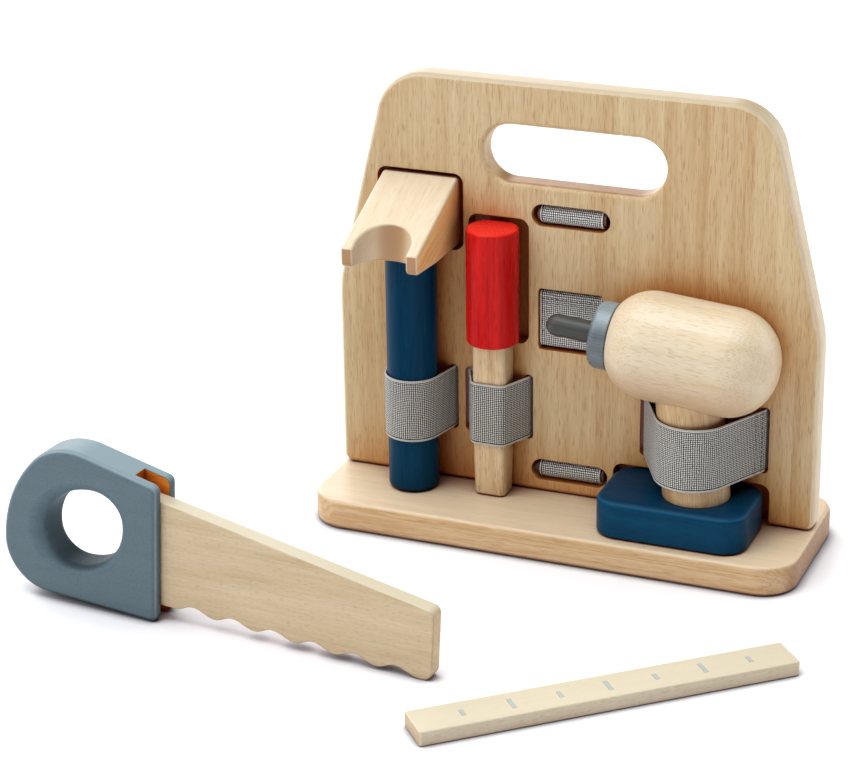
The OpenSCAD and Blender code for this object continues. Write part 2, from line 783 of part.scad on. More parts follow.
// One edge of teeth, as points from the heel to the toe: a wave that leans back towards the heel
function tooth_edge(from, to) = [for (x = [from : tooth_pitch / 12 : to])
    let(p = (x - from) / tooth_pitch, f = p - floor(p), up = tooth_rise)
    [x, tooth_z + tooth_h * (f < up ? 1 - cos(180 * f / up) : 1 + cos(180 * (f - up) / (1 - up))) / 2]];

module saw_blade() {
    heel = -saw_slot_l + glue_gap;
    end = heel + blade_l;
    r = blade_corner_r;
    outline = concat(
        [[heel, tooth_z]],
        tooth_edge(heel + tooth_first, end - toe_r - 1),
        arc([end - toe_r, tooth_z + toe_r], toe_r, 270, 360),
        arc([end - r, tooth_z + blade_end_h - r], r, 0, 90 - atan((heel_h - blade_end_h) / blade_l), 6),
        [[heel, tooth_z + heel_h]]);
    color(wood) saw_frame() translate([0, saw_blade_t / 2 - blade_forward, 0]) rotate([90, 0, 0])
        linear_extrude(saw_blade_t) polygon(outline);
}

// ---- ruler ----

module ruler_frame() {
    translate([ruler_x, ruler_y, 0]) rotate([0, 0, ruler_turn]) children();
}

module mark_boxes(deep) {
    for (k = [-3 : 3]) {
        long = abs(k) % 2 == 0 ? mark_long : mark_short;
        translate([mark_shift + k * mark_pitch - mark_w / 2, -long / 2, ruler_t - deep])
            cube([mark_w, long, deep]);
    }
}

module ruler_body() {
    color(wood) ruler_frame() difference() {
        round_slab(ruler_t, 0.8, 0.8, 2) round_rect(ruler_l, ruler_w, 1.5);
        translate([0, 0, 0.001]) mark_boxes(0.3);
    }
}

module ruler_marks() {
    color(slate) ruler_frame() mark_boxes(0.299);
}

base_plate();
tool_board();
stand_screws();
hammer_band();
screwdriver_band();
drill_band();
rear_strap();
upper_toggle();
lower_toggle();
hammer_head();
hammer_handle();
screwdriver_grip();
screwdriver_shaft();
drill_foot();
drill_handle();
drill_barrel();
drill_spindle();
drill_chuck();
drill_bit();
saw_handle();
saw_blade();
ruler_body();
ruler_marks();
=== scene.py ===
# %% [markdown]
# # A toy carpenter's tool set on its wooden stand
# A board stands on a base. Elastic bands hold a hammer, a screwdriver and a drill against it,
# and a small saw and a ruler lie in front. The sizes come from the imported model, in metres.
# This lesson dresses that model: it rounds the edges that a hand has sanded, weaves the elastic,
# and gives every piece of wood its own grain.

# %% Load the frame
import math

import bmesh
import bpy
from mathutils import Matrix, Vector, geometry


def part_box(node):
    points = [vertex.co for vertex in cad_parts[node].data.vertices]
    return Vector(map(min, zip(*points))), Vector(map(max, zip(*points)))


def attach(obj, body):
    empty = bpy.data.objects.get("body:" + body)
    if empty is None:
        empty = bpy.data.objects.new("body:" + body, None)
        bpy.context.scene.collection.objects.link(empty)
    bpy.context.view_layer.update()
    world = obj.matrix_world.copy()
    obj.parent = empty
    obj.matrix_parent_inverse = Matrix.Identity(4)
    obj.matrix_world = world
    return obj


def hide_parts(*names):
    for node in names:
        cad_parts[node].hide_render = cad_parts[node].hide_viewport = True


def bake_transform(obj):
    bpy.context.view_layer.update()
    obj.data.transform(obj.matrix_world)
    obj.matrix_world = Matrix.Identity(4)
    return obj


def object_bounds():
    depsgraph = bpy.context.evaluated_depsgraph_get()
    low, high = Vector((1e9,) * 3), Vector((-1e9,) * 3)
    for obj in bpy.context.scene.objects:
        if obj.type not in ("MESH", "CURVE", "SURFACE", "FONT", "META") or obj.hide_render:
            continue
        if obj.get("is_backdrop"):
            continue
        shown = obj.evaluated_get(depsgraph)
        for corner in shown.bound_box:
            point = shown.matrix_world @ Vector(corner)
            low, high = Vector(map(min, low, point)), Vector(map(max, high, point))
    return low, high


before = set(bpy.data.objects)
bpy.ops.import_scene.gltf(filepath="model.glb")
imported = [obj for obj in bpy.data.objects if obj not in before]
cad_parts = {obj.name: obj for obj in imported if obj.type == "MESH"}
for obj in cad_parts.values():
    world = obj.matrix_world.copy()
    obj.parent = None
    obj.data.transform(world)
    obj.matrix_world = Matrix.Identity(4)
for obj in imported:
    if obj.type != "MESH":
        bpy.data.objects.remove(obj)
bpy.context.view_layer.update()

mm = 0.001

# %% [markdown]
# ## Camera
# The set is seen from the front, a little from the right and from above. A camera can be aimed with
# angles or with three directions. The directions are used here, because they are what a fit to
# the stand's corners gives. The lens is long, so upright lines stay nearly parallel.

# %% Camera
FOCAL_LENGTH, SENSOR_WIDTH = 118.2, 36       # both in millimetres
right = Vector((0.9266, 0.3757, -0.0140))
up = Vector((-0.1326, 0.3615, 0.9229))
back = Vector((0.3518, -0.8533, 0.3848))
place = Vector((433.75, -1249.64, 627.56)) * mm
camera_data = bpy.data.cameras.new("camera")
camera_data.lens = FOCAL_LENGTH
camera_data.sensor_width = SENSOR_WIDTH
camera_data.sensor_fit = "HORIZONTAL"
camera_data.clip_end = 50                    # metres, beyond the far edge of the floor
camera = bpy.data.objects.new("camera", camera_data)
camera.matrix_world = Matrix.Translation(place) @ Matrix((right, up, back)).transposed().to_4x4()
bpy.context.scene.collection.objects.link(camera)
bpy.context.scene.camera = camera
print("camera: %.0f mm lens, %.2f m away" % (FOCAL_LENGTH, place.length))

# %% [markdown]
# ## Floor
# The floor is one flat sheet, so wide that its edge is never in view.

# %% Floor
HALF_FLOOR = 6                               # metres
floor_corners = [(x * HALF_FLOOR, y * HALF_FLOOR, 0) for x, y in ((-1, -1), (1, -1), (1, 1), (-1, 1))]
floor_mesh = bpy.data.meshes.new("floor")
floor_mesh.from_pydata(floor_corners, [], [(0, 1, 2, 3)])
floor = bpy.data.objects.new("floor", floor_mesh)
floor.location.z = -0.1 * mm
bpy.context.scene.collection.objects.link(floor)
floor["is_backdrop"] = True
print("floor: %d m wide" % (2 * HALF_FLOOR))

# %% [markdown]
# ## Adding nodes
# A material or a world is a net of nodes. Each one could take four or five lines, so one small function
# adds any node, with its settings and its links. Three settings come back often and get a name. A
# Mix node for colours has sockets whose names repeat, so those go by number, and the numbers get names.

# %% Adding nodes
def add(tree, kind, settings=None, inputs=None):
    """Adds one node. Settings are its own choices; inputs are values or other nodes' outputs."""
    node = tree.nodes.new(kind)
    for key, value in (settings or {}).items():
        setattr(node, key, value)
    for key, value in (inputs or {}).items():
        socket = node.inputs[key]
        if isinstance(value, bpy.types.NodeSocket):
            tree.links.new(value, socket)
        else:
            socket.default_value = value
    return node


SOFT_STEP = {"interpolation_type": "SMOOTHSTEP"}                # a step with rounded ends
COLOURS = {"data_type": "RGBA"}                                 # mixes two colours
STAIN = {"data_type": "RGBA", "blend_type": "MULTIPLY"}         # darkens one colour by another
AMOUNT, UNDER, OVER, MIXED = 0, 6, 7, 2
print("nodes: one function adds any of them")

# %% [markdown]
# ## Light
# The set stands in a light tent of white cloth. Lamps could be objects, but a tent has no edges to
# reflect, so the world itself is the tent. Soft lamps behind its cloth make it brighter in five places:
# overhead, low behind on both sides, which gives the tops their pale sheen and throws the shadows
# forward, and from the front left. Where the camera sees the cloth directly it is plain white.

# %% Light
# each lamp: the way round from the right towards the back, the way up, both in degrees, and its strength
LAMPS = {
    "overhead": (0, 90, 2.8),
    "behind_left": (135, 20, 3.2),
    "behind_right": (45, 20, 1.7),
    "front_left_high": (225, 55, 2.15),
    "front_left_low": (225, 20, 0.8),
}
FULL_WITHIN, NOTHING_BEYOND = math.radians(22), math.radians(35)
BARE_CLOTH = 1.1
world = bpy.data.worlds.new("tent")
world.use_nodes = True
tree = world.node_tree
tree.nodes.clear()
way = add(tree, "ShaderNodeTexCoord")
light = 0.0
for name, (round_about, high, strength) in LAMPS.items():
    a, b = math.radians(round_about), math.radians(high)
    towards = (math.cos(a) * math.cos(b), math.sin(a) * math.cos(b), math.sin(b))
    near = add(tree, "ShaderNodeVectorMath", {"operation": "DOT_PRODUCT"}, {
        0: way.outputs["Generated"], 1: towards})
    patch = add(tree, "ShaderNodeMapRange", SOFT_STEP, {
        "Value": near.outputs["Value"], "From Min": math.cos(NOTHING_BEYOND),
        "From Max": math.cos(FULL_WITHIN), "To Min": 0, "To Max": strength})
    light = add(tree, "ShaderNodeMath", {"operation": "ADD"}, {0: light, 1: patch.outputs[0]}).outputs[0]
    print("lamp %s: strength %.2f" % (name, strength))
path = add(tree, "ShaderNodeLightPath")
seen = add(tree, "ShaderNodeMix", {"data_type": "FLOAT"}, {
    0: path.outputs["Is Camera Ray"], 2: light, 3: BARE_CLOTH})
tent = add(tree, "ShaderNodeBackground", {}, {"Color": (1, 1, 1, 1), "Strength": seen.outputs[0]})
add(tree, "ShaderNodeOutputWorld", {}, {"Surface": tent.outputs[0]})
bpy.context.scene.world = world
bpy.context.scene.view_settings.view_transform = "Standard"

# %% [markdown]
# ## Colour
# Colours are written as the hex values that a screen shows. A shader wants linear light, so one
# function turns the one into the other.

# %% Colour
def srgb(hexed):
    """A screen colour such as "c8ad87" as linear RGBA."""
    parts = [int(hexed[k:k + 2], 16) / 255 for k in (0, 2, 4)]
    return tuple(p / 12.92 if p <= 0.04045 else ((p + 0.055) / 1.055) ** 2.4 for p in parts) + (1.0,)


def material(name):
    """An empty material, and its node tree."""
    made = bpy.data.materials.new(name)
    made.use_nodes = True
    made.node_tree.nodes.clear()
    return made, made.node_tree


print("colour: middle grey 808080 is %.3f in linear light" % srgb("808080")[0])

# %% [markdown]
# ## Wood: where the grain lies
# Wood is a stack of long cells, so its figure is solid: lines on a board's face and rings on its end are
# the same layers, cut two ways. A picture wrapped round the piece would show neither, so the figure is
# computed in space, in millimetres, with its first axis along the grain. A seed moves a piece to
# another place in the tree. A board that is glued from staves has a tone and a run of grain for each.

# %% Wood: where the grain lies
X, Z = Vector((1, 0, 0)), Vector((0, 0, 1))
SEED_STEP = (37, 91, 53)                     # mm between two pieces with neighbouring seeds
STAVE_STEP = 400                             # mm, at most, between the figures of two staves


def in_the_tree(tree, spot, grain, seed, staves):
    """The place of each point in the tree, in mm with the grain along x, and the tone of its stave."""
    turn = Vector(grain).normalized().rotation_difference(X).to_euler()
    at = add(tree, "ShaderNodeMapping", {}, {
        "Vector": spot.outputs["Object"], "Rotation": turn, "Scale": (1 / mm, 1 / mm, 1 / mm),
        "Location": tuple(seed * step for step in SEED_STEP)}).outputs[0]
    if not staves:
        return at, 0.5
    axis, width = staves
    whole = add(tree, "ShaderNodeSeparateXYZ", {}, {0: spot.outputs["Object"]})
    across = add(tree, "ShaderNodeMath", {"operation": "MULTIPLY"}, {0: whole.outputs[axis], 1: 1 / mm / width})
    number = add(tree, "ShaderNodeMath", {"operation": "FLOOR"}, {0: across.outputs[0]})
    chance = add(tree, "ShaderNodeTexWhiteNoise", {"noise_dimensions": "1D"}, {"W": number.outputs[0]})
    shift = add(tree, "ShaderNodeVectorMath", {"operation": "SCALE"}, {
        0: chance.outputs["Color"], "Scale": STAVE_STEP})
    moved = add(tree, "ShaderNodeVectorMath", {"operation": "ADD"}, {0: at, 1: shift.outputs[0]})
    return moved.outputs[0], chance.outputs["Value"]


print("wood: figure in mm, the next seed lies %.0f mm on" % Vector(SEED_STEP).length)

# %% [markdown]
# ## Wood: its figure
# Four things make the figure up: slow bands of tone, growth layers, fine fibre, and the open pores
# that show as short dark dashes. Each is a noise or a ring pattern, stretched to its real size.

# %% Wood: its figure
TONE_PER_MM = (0.010, 0.16, 0.16)            # bands some 100 mm long and 6 mm wide
FIBRE_PER_MM = (0.06, 1.5, 1.5)              # fibres some 17 mm long and 0.7 mm wide
PORES_PER_MM = 2.3                           # pores half a millimetre wide
LAYER_APART, LAYER_BEND = 3.1, 14            # mm between growth layers, and mm that they wander
HEART = (55, 31)                             # mm from the piece to the heart of the tree


def figure(tree, at, glued, seed, layer, pores, long):
    """The share of the deep tone, and the tone bands, fibre and pores behind it."""
    streak = add(tree, "ShaderNodeVectorMath", {"operation": "MULTIPLY"}, {0: at, 1: TONE_PER_MM})
    tone = add(tree, "ShaderNodeTexNoise", {}, {
        "Vector": streak.outputs[0], "Scale": 1, "Detail": 3, "Roughness": 0.55}).outputs[0]
    # layers are rings round the heart, a little slanted along the grain and bent with the tone
    from_heart = add(tree, "ShaderNodeVectorMath", {"operation": "MULTIPLY_ADD"}, {
        0: at, 1: (0.04, 1, 1), 2: (0, HEART[0] + seed, HEART[1])})
    apart = add(tree, "ShaderNodeSeparateXYZ", {}, {0: from_heart.outputs[0]})
    ring_spot = add(tree, "ShaderNodeCombineXYZ", {}, {"X": apart.outputs["Y"], "Y": apart.outputs["Z"]})
    radius = add(tree, "ShaderNodeVectorMath", {"operation": "LENGTH"}, {0: ring_spot.outputs[0]})
    bent = add(tree, "ShaderNodeMath", {"operation": "MULTIPLY_ADD"}, {
        0: tone, 1: LAYER_BEND, 2: radius.outputs["Value"]})
    layers = add(tree, "ShaderNodeMath", {"operation": "MULTIPLY"}, {0: bent.outputs[0], 1: 1 / LAYER_APART})
    ring = add(tree, "ShaderNodeMath", {"operation": "FRACT"}, {0: layers.outputs[0]})
    late = add(tree, "ShaderNodeMapRange", SOFT_STEP, {
        "Value": ring.outputs[0], "From Min": 0.25, "From Max": 0.95, "To Min": 0, "To Max": 1})
    fibre_at = add(tree, "ShaderNodeVectorMath", {"operation": "MULTIPLY"}, {0: at, 1: FIBRE_PER_MM})
    fibre = add(tree, "ShaderNodeTexNoise", {}, {
        "Vector": fibre_at.outputs[0], "Scale": 1, "Detail": 2}).outputs[0]
    pore_at = add(tree, "ShaderNodeVectorMath", {"operation": "MULTIPLY"}, {
        0: at, 1: (long, PORES_PER_MM, PORES_PER_MM)})
    dash = add(tree, "ShaderNodeTexNoise", {}, {"Vector": pore_at.outputs[0], "Scale": 1, "Detail": 0})
    open_pore = add(tree, "ShaderNodeMapRange", SOFT_STEP, {
        "Value": dash.outputs[0], "From Min": 0.60, "From Max": 0.72, "To Min": 0, "To Max": pores}).outputs[0]
    # the tones together: tone bands, layers, fibre and the stave's own
    deep = tone
    for part, weight in ((late.outputs[0], layer), (fibre, 0.35), (glued, 0.25)):
        deep = add(tree, "ShaderNodeMath", {"operation": "MULTIPLY_ADD"}, {0: part, 1: weight, 2: deep}).outputs[0]
    share = add(tree, "ShaderNodeMapRange", {}, {"Value": deep, "From Min": 0.545, "From Max": 1.205})
    return share.outputs[0], tone, fibre, open_pore


print("wood: %.1f mm between growth layers, pores %.1f mm wide" % (LAYER_APART, 1 / PORES_PER_MM))

# %% [markdown]
# ## Wood: worn edges, and painted light and shade
# The same wood has another tone where it was cut or rubbed. Other tones are painted light and shade: on faces
# that look one way, and in recesses. These could be painted by hand. Here each is found from the shape: from
# the way a face looks, or from how open the place is.

# %% Wood: worn edges and painted light by facing
def worn(tree, spot, tone, colour, slab, wear):
    """Stain rubbed thin where a slab's edge is rounded, more in some places than in others."""
    lie = add(tree, "ShaderNodeVectorMath", {"operation": "DOT_PRODUCT"}, {0: spot.outputs["Normal"], 1: slab})
    steep = add(tree, "ShaderNodeMath", {"operation": "ABSOLUTE"}, {0: lie.outputs["Value"]})
    edge = add(tree, "ShaderNodeMath", {"operation": "PINGPONG"}, {0: steep.outputs[0], 1: 0.6})
    rubbed = add(tree, "ShaderNodeMapRange", SOFT_STEP, {
        "Value": edge.outputs[0], "From Min": 0.30, "From Max": 0.6, "To Min": 0, "To Max": 0.9})
    patch = add(tree, "ShaderNodeMath", {"operation": "MULTIPLY"}, {0: rubbed.outputs[0], 1: tone})
    return add(tree, "ShaderNodeMix", COLOURS, {
        AMOUNT: patch.outputs[0], UNDER: colour, OVER: srgb(wear)}).outputs[MIXED]


def painted_facing_light(tree, spot, colour, towards, tone, amount):
    """Painted light or shade: another tone on the faces that look one way, for how the light falls on them."""
    lie = add(tree, "ShaderNodeVectorMath", {"operation": "DOT_PRODUCT"}, {0: spot.outputs["Normal"], 1: towards})
    turned = add(tree, "ShaderNodeMapRange", SOFT_STEP, {
        "Value": lie.outputs["Value"], "From Min": 0.3, "From Max": 0.95, "To Min": 0, "To Max": amount})
    return add(tree, "ShaderNodeMix", COLOURS, {
        AMOUNT: turned.outputs[0], UNDER: colour, OVER: srgb(tone)}).outputs[MIXED]


# %% [markdown]
# End grain drinks more lacquer and is darker. Routed walls, inside corners and the wood beside a tool
# get painted shade, darker where other wood is near, and on the board a painted warm glow stands for the light that
# wood throws on wood.

# %% Wood: end grain and painted shade in recesses
def end_grain(tree, spot, colour, grain, end):
    """A stain on the faces that the grain runs into."""
    cut = add(tree, "ShaderNodeVectorMath", {"operation": "DOT_PRODUCT"}, {
        0: spot.outputs["Normal"], 1: Vector(grain).normalized()})
    square = add(tree, "ShaderNodeMath", {"operation": "ABSOLUTE"}, {0: cut.outputs["Value"]})
    ends = add(tree, "ShaderNodeMapRange", SOFT_STEP, {
        "Value": square.outputs[0], "From Min": 0.7, "From Max": 0.98, "To Min": 0, "To Max": 0.75})
    return add(tree, "ShaderNodeMix", STAIN, {
        AMOUNT: ends.outputs[0], UNDER: colour, OVER: srgb(end)}).outputs[MIXED]


def recessed(tree, colour, recess, reach, warm):
    """Painted shade in recesses: a darker tone where other wood lies within a reach in mm. The glow, if given, is a
    painted warm outer tone, for light that wood throws on wood.
    """
    around = add(tree, "ShaderNodeAmbientOcclusion", {"samples": 8}, {"Distance": reach * mm}).outputs["AO"]
    shut, open_air = (0.35, 0.88) if warm else (0.05, 0.68)
    deepest = add(tree, "ShaderNodeMapRange", SOFT_STEP, {
        "Value": around, "From Min": 0.1, "From Max": 0.42, "To Min": 1, "To Max": 0})
    tint = add(tree, "ShaderNodeMix", COLOURS, {
        AMOUNT: deepest.outputs[0], UNDER: srgb(warm or recess), OVER: srgb(recess)})
    hidden = add(tree, "ShaderNodeMapRange", SOFT_STEP, {
        "Value": around, "From Min": shut, "From Max": open_air, "To Min": 1, "To Max": 0})
    return add(tree, "ShaderNodeMix", STAIN, {
        AMOUNT: hidden.outputs[0], UNDER: colour, OVER: tint.outputs[MIXED]}).outputs[MIXED]


# %% [markdown]
# ## Wood: the whole material
# One function puts a wood together. Bare, sealed and dyed wood differ only in tones and shine,
# so they could be three materials or one with choices. It is one, and short functions choose for it.
# The lacquer follows the fibre: pores stay open as fine dents, and the shine varies a little.

# %% Wood: the whole material
def wood(name, grain, pale, deep, pore, seed=0.0, staves=None, layer=0.25, pores=0.4, long=0.15,
         rough=0.42, shine_level=0.5, end="b4906a", sides=None, wear=None, slab=None,
         recess="a24a20", reach=25, warm=None):
    """Wood with its grain along a direction.

    Pale and deep are its two tones, and pore is the colour of its pores. Layer and pores say how
    strongly those show, and long how many pores follow each other per mm. Sides is a direction, and the
    tone and amount of painted light or shade for faces that look that way. Wear is the tone of the worn edges of a
    slab.
    Painted shade is the tone that recesses get, where other wood lies within reach mm, and painted glow, if given,
    is its warm outer tone, for light that wood throws on wood.
    """
    made, tree = material(name)
    spot = add(tree, "ShaderNodeTexCoord")
    at, glued = in_the_tree(tree, spot, grain, seed, staves)
    share, tone, fibre, open_pore = figure(tree, at, glued, seed, layer, pores, long)
    ground = add(tree, "ShaderNodeMix", COLOURS, {AMOUNT: share, UNDER: srgb(pale), OVER: srgb(deep)})
    colour = add(tree, "ShaderNodeMix", COLOURS, {
        AMOUNT: open_pore, UNDER: ground.outputs[MIXED], OVER: srgb(pore)}).outputs[MIXED]
    if wear:
        colour = worn(tree, spot, tone, colour, slab, wear)
    # painted light or shade on the faces that look one way
    if sides:
        colour = painted_facing_light(tree, spot, colour, *sides)
    colour = end_grain(tree, spot, colour, grain, end)
    # painted shade in recesses, with a painted warm glow where one is given
    colour = recessed(tree, colour, recess, reach, warm)
    rise = add(tree, "ShaderNodeMath", {"operation": "MULTIPLY_ADD"}, {0: open_pore, 1: -1.0, 2: fibre})
    relief = add(tree, "ShaderNodeBump", {}, {
        "Height": rise.outputs[0], "Strength": 0.35, "Distance": 0.12 * mm})
    shine = add(tree, "ShaderNodeMapRange", {}, {
        "Value": fibre, "To Min": rough - 0.08, "To Max": rough + 0.08})
    skin = add(tree, "ShaderNodeBsdfPrincipled", {}, {
        "Base Color": colour, "Roughness": shine.outputs[0], "Normal": relief.outputs[0],
        "IOR": 1.5, "Specular IOR Level": shine_level})
    add(tree, "ShaderNodeOutputMaterial", {}, {"Surface": skin.outputs[0]})
    print("material: %s" % name)
    return made


def rubberwood(name, grain, pale="d9be94", deep="c29a68", **more):
    """Rubberwood, sanded and sealed with a thin matt lacquer: straw to pinkish, with long open pores."""
    return wood(name, grain, pale, deep, "9c5f30", **more)


# %% [markdown]
# ## Sanded edges
# A wooden toy has no sharp edge. The frame's slabs already have their round outer edges, and what is left
# is the slight easing of every routed pocket and slot. A bevel on a copy of the piece gives that. The copy is
# first cleaned: triangles that lie in one plane become one face, so that the bevel runs along
# real edges only, and the shading of a flat face stays flat.

# %% Eased copies
CREASE = math.radians(40)                    # a sharper edge than this stays an edge
WELD = 2e-6                                  # metres: points this close are one point
ONE_PLANE = math.radians(0.3)
SHARP = math.radians(35)


def finished(name, body, stands_for, bm):
    """A piece from a bmesh, smooth except at its creases, that rides on a body."""
    mesh = bpy.data.meshes.new(name)
    bm.verts.index_update()
    mesh.from_pydata([v.co[:] for v in bm.verts], [], [[v.index for v in f.verts] for f in bm.faces])
    bm.free()
    mesh.polygons.foreach_set("use_smooth", [True] * len(mesh.polygons))
    mesh.set_sharp_from_angle(angle=CREASE)
    piece = bpy.data.objects.new(name, mesh)
    bpy.context.scene.collection.objects.link(piece)
    weighted = piece.modifiers.new("flat faces stay flat", "WEIGHTED_NORMAL")
    weighted.keep_sharp = True
    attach(piece, body)
    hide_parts(stands_for)
    return piece


def eased(node, body, width, finish, steps=2):
    """A copy of a CAD node with a finish, and its sharp outer edges rounded by a width in millimetres."""
    bm = bmesh.new()
    bm.from_mesh(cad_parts[node].data)
    bmesh.ops.remove_doubles(bm, verts=bm.verts, dist=WELD)
    bmesh.ops.dissolve_limit(bm, angle_limit=ONE_PLANE, verts=bm.verts, edges=bm.edges)
    sharp = [e for e in bm.edges if e.is_convex and e.calc_face_angle(0) > SHARP]
    bmesh.ops.bevel(bm, geom=sharp, offset=width * mm, segments=steps, profile=0.5, affect="EDGES",
                    clamp_overlap=False)
    print("%s: %d edges eased by %.1f mm" % (node, len(sharp), width))
    piece = finished(node + "_sanded", body, node, bm)
    piece.data.materials.append(finish)
    return piece


def second(piece, finish, chosen):
    """Gives a second finish to the faces that a function chooses."""
    piece.data.materials.append(finish)
    picked = [face for face in piece.data.polygons if chosen(face)]
    for face in picked:
        face.material_index = len(piece.data.materials) - 1
    print("%s: %d faces of %s" % (piece.name, len(picked), finish.name))


# %% [markdown]
# ## Stand
# The board and the base are rubberwood, sanded and sealed. The board is glued from upright staves, so
# its tone steps a little every 23 mm. Its rounded rim is paler, partly from worn lacquer and partly as a
# painted highlight, and its faces that look up get painted shade. The rim could be a strip of its own, but
# it is the same wood, so it is a second finish on the faces that lie within 3 mm of the outline. The top of
# the base is paler: a painted sheen.

# %% Stand
STAVES = ("X", 23.3)
RIM, FLAT = 3 * mm, 0.97
# sealed rubberwood: straw with fine dark dashes, with painted orange shade and a painted warm glow in its pockets
# and beside the tools
board = eased("tool_board", "stand", 0.5, rubberwood(
    "sealed_rubberwood_board", Z, pale="d3bd93", deep="bb9766", staves=STAVES, layer=0.13, pores=0.4,
    recess="dc641e", reach=45, warm="ffd39c"))
outline = [Vector((v.co.x, v.co.z)) for v in board.data.vertices]
outline = [outline[k] for k in geometry.convex_hull_2d(outline)]


def on_rim(face):
    """True for the board's rounded rim."""
    if abs(face.normal.y) >= FLAT:
        return False
    at = Vector((face.center.x, face.center.z))
    sides = zip(outline, outline[1:] + outline[:1])
    return min((at - geometry.intersect_point_line(at, a, b)[0]).length for a, b in sides) < RIM


# rubberwood on the rim, nearly cream, partly worn and partly a painted highlight, so the rim reads as a light line
# round the board; its faces that look up get painted shade
second(board, rubberwood(
    "rubberwood_rim_worn_and_painted_highlight", Z, pale="dccbac", deep="d0b892", staves=STAVES, layer=0.18, pores=0.2,
    end="fff8ee", sides=(Z, "b3a58b", 0.9)), on_rim)
# sealed rubberwood again, with its grain across the stand: long lines along the front edge, and a painted sheen
# that makes its top paler
base = eased("base_plate", "stand", 0.4, rubberwood(
    "sealed_rubberwood_base", X, seed=1.0, layer=0.3, pores=0.28, sides=(Z, "e2d5bd", 0.6)))

# %% [markdown]
# ## Dowels and screws
# The dowels at the back and the screws in the underside keep their CAD shapes: a turned dowel and a
# countersunk screw are already exact there. The screws are zinc-plated steel: a pale, slightly
# blue metal whose crystals, about a millimetre across, give it a soft, uneven shine.

# %% Dowels and screws
def dress(node, finish):
    """Gives a CAD node its finish."""
    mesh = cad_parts[node].data
    mesh.materials.clear()
    mesh.materials.append(finish)
    print("%s: %s" % (node, finish.name))


CRYSTALS_PER_M = 900
zinc, tree = material("zinc_plated_steel")
spot = add(tree, "ShaderNodeTexCoord")
bloom = add(tree, "ShaderNodeTexNoise", {}, {
    "Vector": spot.outputs["Object"], "Scale": CRYSTALS_PER_M, "Detail": 3})
grey = add(tree, "ShaderNodeMix", COLOURS, {
    AMOUNT: bloom.outputs[0], UNDER: srgb("b9bcc0"), OVER: srgb("d5d8da")})
dull = add(tree, "ShaderNodeMapRange", {}, {"Value": bloom.outputs[0], "To Min": 0.25, "To Max": 0.5})
plate = add(tree, "ShaderNodeBsdfPrincipled", {}, {
    "Base Color": grey.outputs[MIXED], "Metallic": 1.0, "Roughness": dull.outputs[0]})
add(tree, "ShaderNodeOutputMaterial", {}, {"Surface": plate.outputs[0]})
dress("stand_screws", zinc)
dress("drill_spindle", zinc)
# dark brown beech, as dark as the shadow in their recesses: painted shade, so the dowels disappear there
dowel_wood = wood("dark_beech_dowel_painted_shade", X, "6a4630", "543524", "382015", seed=2.0)
dress("upper_toggle", dowel_wood)
dress("lower_toggle", dowel_wood)

# %% [markdown]
# ## Hammer
# The head is one block of a pale, close-grained wood, such as maple, with its grain running from the
# face to the claw. Its right flank, in shade, has a finish of its own: warm stripes where the layers come out
# at a slant, on a bright orange ground that is a painted warm glow, for the light that nearby wood throws on it.
# The handle is turned and dyed navy: a dye soaks in, so the fibre shows.

# %% Hammer
def maple(name, grain, **more):
    """Maple with a clear matt lacquer: cream, with fine short flecks and hardly any layers."""
    return wood(name, grain, "e2d5bd", "d7c19d", "a47c4b", **{"rough": 0.33, "layer": 0.12, "pores": 0.3, **more})


def dyed(name, grain, pale, deep, pore, **more):
    """Maple dyed in a strong colour and lacquered: the fibre shows as lighter and darker streaks."""
    # dyed wood takes a neutral grey as painted shade in its recesses
    usual = {"rough": 0.4, "layer": 0.1, "pores": 0.25, "shine_level": 0.1, "recess": "606060", "end": "d0d0d0"}
    return wood(name, grain, pale, deep, pore, **{**usual, **more})


low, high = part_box("hammer_head")
head_grain = (0, high.y - low.y, (high.z - low.z) * 0.6)
down_front = (0, -0.87, -0.5)
# the faces of the claw look down and forward, and get painted warm shade, for the light that the stand throws back
# up
head = eased("hammer_head", "hammer", 1.2, maple(
    "lacquered_maple_head", head_grain, long=0.05, pores=0.16, layer=0.1, end="b9946e",
    sides=(down_front, "d2b184", 0.9)), steps=3)
# the same lacquer over slanting layers: honey stripes, on a bright warm ground that is a painted warm glow, for the
# right flank in shade
flank = wood("lacquered_maple_flank_painted_glow", head_grain, "ffdc98", "fbc07c", "9a6838", rough=0.33, layer=0.35,
             pores=0.4, long=0.05)
second(head, flank, lambda face: face.normal.x > 0.99 and face.center.x > high.x - 2 * mm)
# navy dye under a satin lacquer: nearly black where it turns from the light
dress("hammer_handle", dyed("navy_dyed_maple_handle", Z, "053c5b", "012c46", "01182a", rough=0.32,
                            shine_level=0.05))

# %% [markdown]
# ## Screwdriver
# A turned grip on a square shaft with eased corners. The grip is dyed red and lacquered more thickly
# than the other pieces. The shaft is sealed rubberwood, with its pores running down it.

# %% Screwdriver
# sealed rubberwood: a shade darker than the board, with short upright dashes
shaft = eased("screwdriver_shaft", "screwdriver", 0.4, wood(
    "sealed_rubberwood_shaft", Z, "e4cda8", "cdab7d", "8a5a35", seed=3.0))
# red dye under gloss, with a painted highlight that makes the round top brighter, and darker pores down the side
dress("screwdriver_grip", dyed(
    "red_dyed_maple_grip", Z, "e3211c", "b00b0d", "880608", seed=1.0, rough=0.27, shine_level=0.1,
    pores=0.4, layer=0.2, end="fff4f0", sides=(Z, "f4382c", 0.6)))

# %% [markdown]
# ## Drill
# A maple barrel on a rubberwood handle, with a navy foot, a slate ring and a charcoal bit. The drill
# leans by 5 degrees, and the grain of each piece follows its own axis, as it does on turned wood.

